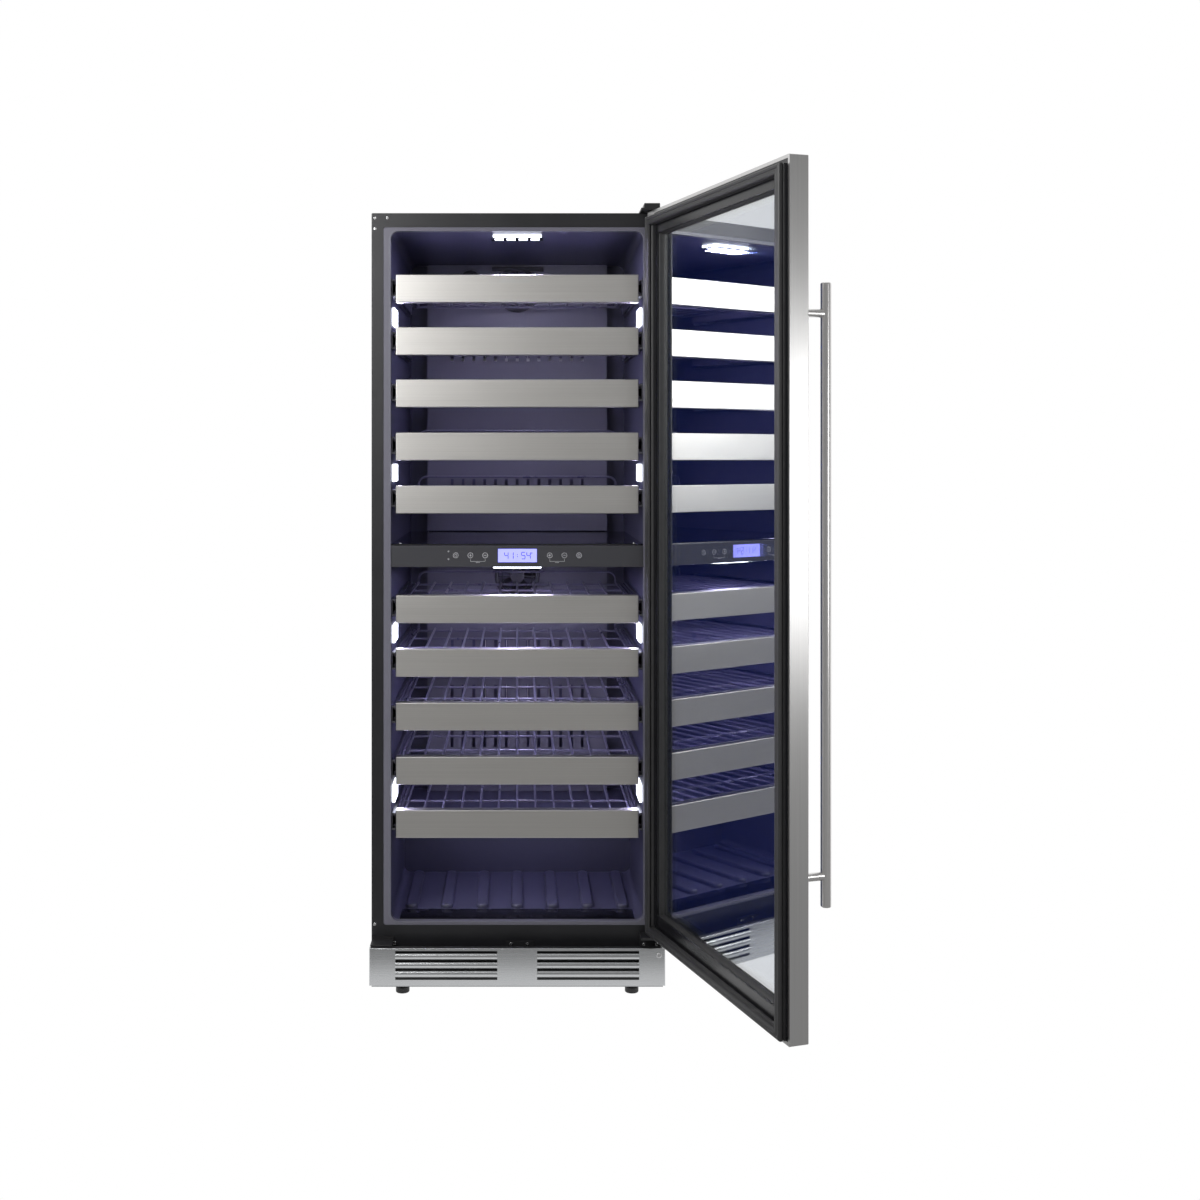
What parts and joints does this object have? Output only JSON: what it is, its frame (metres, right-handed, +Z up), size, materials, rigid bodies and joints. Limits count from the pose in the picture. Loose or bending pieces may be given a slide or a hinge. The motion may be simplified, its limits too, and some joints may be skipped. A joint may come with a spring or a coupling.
{
  "type": "wine cooler",
  "caption": "Tall built-in dual-zone wine cooler with a stainless-framed glass door, sliding wire shelves with steel fronts and a louvred toe grille.",
  "frame": {"origin": "On the floor, in the middle of the cabinet's width, in the plane of the cabinet's front frame.", "axes": "+X to the right as seen from the front, +Y towards the back, +Z up. The door stands open at rest."},
  "size_m": [0.8227, 1.1768, 1.609],
  "materials": {
    "black_steel": "satin",
    "foam": "matte",
    "liner_plastic": "satin",
    "trim_grey": "satin",
    "screw_steel": "gloss",
    "gloss_black": "gloss",
    "fascia_grey": "satin",
    "display_glow": "satin",
    "key_plastic": "satin",
    "duct_grey": "satin",
    "fan_black": "satin",
    "aluminium": "satin",
    "lamp_glow": "satin",
    "zinc_steel": "satin",
    "brushed_steel": "satin",
    "rubber": "matte",
    "tinted_glass": "polished",
    "wire_black": "satin"
  },
  "bodies": {
    "cabinet": {"outer_shell": "black_steel", "insulation_foam": "foam", "inner_liner": "liner_plastic", "front_frame": "black_steel", "liner_trim": "trim_grey", "cabinet_screws": "screw_steel", "divider": "gloss_black", "control_fascia": "fascia_grey", "display": "display_glow", "air_ducts": "duct_grey", "duct_fittings": "duct_grey", "fan_motors": "fan_black", "evaporators": "aluminium", "lamp_lenses": "lamp_glow", "slide_rails": "zinc_steel", "base_frame": "zinc_steel", "toe_grille": "brushed_steel", "compressor": "black_steel", "condenser": "black_steel", "cord_gland": "rubber", "hinge_brackets": "black_steel"},
    "door": {"door_frame": "brushed_steel", "glass_panes": "tinted_glass", "glass_spacer": "aluminium", "door_liner": "gloss_black", "door_gasket": "rubber", "door_handle": "brushed_steel"},
    "upper_fan_wheel": {"upper_fan": "fan_black"},
    "lower_fan_wheel": {"lower_fan": "fan_black"},
    "condenser_fan_wheel": {"condenser_fan": "fan_black"},
    "shelf_01": {"shelf_01_panel": "brushed_steel", "shelf_01_rack": "wire_black"},
    "shelf_02": {"shelf_02_panel": "brushed_steel", "shelf_02_rack": "wire_black"},
    "shelf_03": {"shelf_03_panel": "brushed_steel", "shelf_03_rack": "wire_black"},
    "shelf_04": {"shelf_04_panel": "brushed_steel", "shelf_04_rack": "wire_black"},
    "shelf_05": {"shelf_05_panel": "brushed_steel", "shelf_05_rack": "wire_black"},
    "shelf_06": {"shelf_06_panel": "brushed_steel", "shelf_06_rack": "wire_black"},
    "shelf_07": {"shelf_07_panel": "brushed_steel", "shelf_07_rack": "wire_black"},
    "shelf_08": {"shelf_08_panel": "brushed_steel", "shelf_08_rack": "wire_black"},
    "shelf_09": {"shelf_09_panel": "brushed_steel", "shelf_09_rack": "wire_black"},
    "shelf_10": {"shelf_10_panel": "brushed_steel", "shelf_10_rack": "wire_black"},
    "foot_front_left": {"front_left_foot": "rubber"},
    "foot_front_right": {"front_right_foot": "rubber"},
    "foot_rear_left": {"rear_left_foot": "rubber"},
    "foot_rear_right": {"rear_right_foot": "rubber"},
    "power_button": {"power_key": "key_plastic"},
    "light_button": {"light_key": "key_plastic"},
    "unit_button": {"unit_key": "key_plastic"},
    "mode_button": {"mode_key": "key_plastic"},
    "plus_button": {"plus_key": "key_plastic"},
    "minus_button": {"minus_key": "key_plastic"}
  },
  "joints": [
    {"name": "door_hinge", "type": "hinge", "parent": "cabinet", "child": "door", "pos_m": [0.2825, -0.028, 0.131], "axis": [0, 0, 1], "range_deg": [-107.75, 12]},
    {"name": "shelf_01_slide", "type": "slide", "parent": "cabinet", "child": "shelf_01", "axis": [0, -1, 0], "range_m": [0, 0.33]},
    {"name": "shelf_02_slide", "type": "slide", "parent": "cabinet", "child": "shelf_02", "axis": [0, -1, 0], "range_m": [0, 0.33]},
    {"name": "shelf_03_slide", "type": "slide", "parent": "cabinet", "child": "shelf_03", "axis": [0, -1, 0], "range_m": [0, 0.33]},
    {"name": "shelf_04_slide", "type": "slide", "parent": "cabinet", "child": "shelf_04", "axis": [0, -1, 0], "range_m": [0, 0.33]},
    {"name": "shelf_05_slide", "type": "slide", "parent": "cabinet", "child": "shelf_05", "axis": [0, -1, 0], "range_m": [0, 0.33]},
    {"name": "shelf_06_slide", "type": "slide", "parent": "cabinet", "child": "shelf_06", "axis": [0, -1, 0], "range_m": [0, 0.33]},
    {"name": "shelf_07_slide", "type": "slide", "parent": "cabinet", "child": "shelf_07", "axis": [0, -1, 0], "range_m": [0, 0.33]},
    {"name": "shelf_08_slide", "type": "slide", "parent": "cabinet", "child": "shelf_08", "axis": [0, -1, 0], "range_m": [0, 0.33]},
    {"name": "shelf_09_slide", "type": "slide", "parent": "cabinet", "child": "shelf_09", "axis": [0, -1, 0], "range_m": [0, 0.33]},
    {"name": "shelf_10_slide", "type": "slide", "parent": "cabinet", "child": "shelf_10", "axis": [0, -1, 0], "range_m": [0, 0.33]},
    {"name": "upper_fan_spin", "type": "hinge", "parent": "cabinet", "child": "upper_fan_wheel", "pos_m": [0, 0.5195, 1.497], "axis": [0, 1, 0], "continuous": true},
    {"name": "lower_fan_spin", "type": "hinge", "parent": "cabinet", "child": "lower_fan_wheel", "pos_m": [0, 0.5195, 0.812], "axis": [0, 1, 0], "continuous": true},
    {"name": "condenser_fan_spin", "type": "hinge", "parent": "cabinet", "child": "condenser_fan_wheel", "pos_m": [-0.045, 0.478, 0.105], "axis": [1, 0, 0], "continuous": true},
    {"name": "foot_front_left_turn", "type": "hinge", "parent": "cabinet", "child": "foot_front_left", "pos_m": [-0.235, 0.016, 0], "axis": [0, 0, 1], "continuous": true},
    {"name": "foot_front_right_turn", "type": "hinge", "parent": "cabinet", "child": "foot_front_right", "pos_m": [0.235, 0.016, 0], "axis": [0, 0, 1], "continuous": true},
    {"name": "foot_rear_left_turn", "type": "hinge", "parent": "cabinet", "child": "foot_rear_left", "pos_m": [-0.235, 0.55, 0], "axis": [0, 0, 1], "continuous": true},
    {"name": "foot_rear_right_turn", "type": "hinge", "parent": "cabinet", "child": "foot_rear_right", "pos_m": [0.235, 0.55, 0], "axis": [0, 0, 1], "continuous": true},
    {"name": "power_press", "type": "slide", "parent": "cabinet", "child": "power_button", "axis": [0, 1, 0], "range_m": [0, 0.0006], "stiffness_N_per_m": 800},
    {"name": "light_press", "type": "slide", "parent": "cabinet", "child": "light_button", "axis": [0, 1, 0], "range_m": [0, 0.0006], "stiffness_N_per_m": 800},
    {"name": "unit_press", "type": "slide", "parent": "cabinet", "child": "unit_button", "axis": [0, 1, 0], "range_m": [0, 0.0006], "stiffness_N_per_m": 800},
    {"name": "mode_press", "type": "slide", "parent": "cabinet", "child": "mode_button", "axis": [0, 1, 0], "range_m": [0, 0.0006], "stiffness_N_per_m": 800},
    {"name": "plus_press", "type": "slide", "parent": "cabinet", "child": "plus_button", "axis": [0, 1, 0], "range_m": [0, 0.0006], "stiffness_N_per_m": 800},
    {"name": "minus_press", "type": "slide", "parent": "cabinet", "child": "minus_button", "axis": [0, 1, 0], "range_m": [0, 0.0006], "stiffness_N_per_m": 800}
  ]
}
